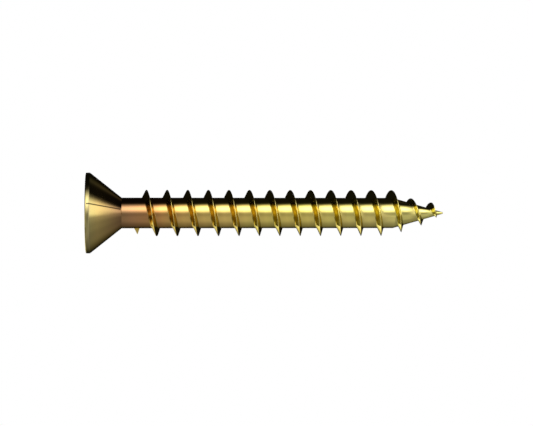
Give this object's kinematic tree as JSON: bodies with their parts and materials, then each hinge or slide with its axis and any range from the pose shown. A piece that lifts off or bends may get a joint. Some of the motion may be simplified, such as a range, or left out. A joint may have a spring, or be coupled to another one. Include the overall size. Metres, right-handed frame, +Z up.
{
  "type": "chipboard screw",
  "caption": "Countersunk chipboard screw with a cross recess, plain neck, coarse right-hand thread and gimlet point, in yellow-passivated zinc, lying on its side.",
  "frame": {"origin": "middle of the bounding box's foot: the floor the screw rests on, under its middle", "axes": "+X along the screw from head to point, which leans 3.32 degrees down because the head is wider than the thread; +Z up"},
  "size_m": [0.0352, 0.0078, 0.0078],
  "materials": {
    "yellow_zinc": "cold-headed and thread-rolled steel, bright zinc plated and yellow passivated: a smooth golden lustre with rose and pale green tints"
  },
  "bodies": {
    "root": {"screw": "yellow_zinc"}
  },
  "joints": []
}
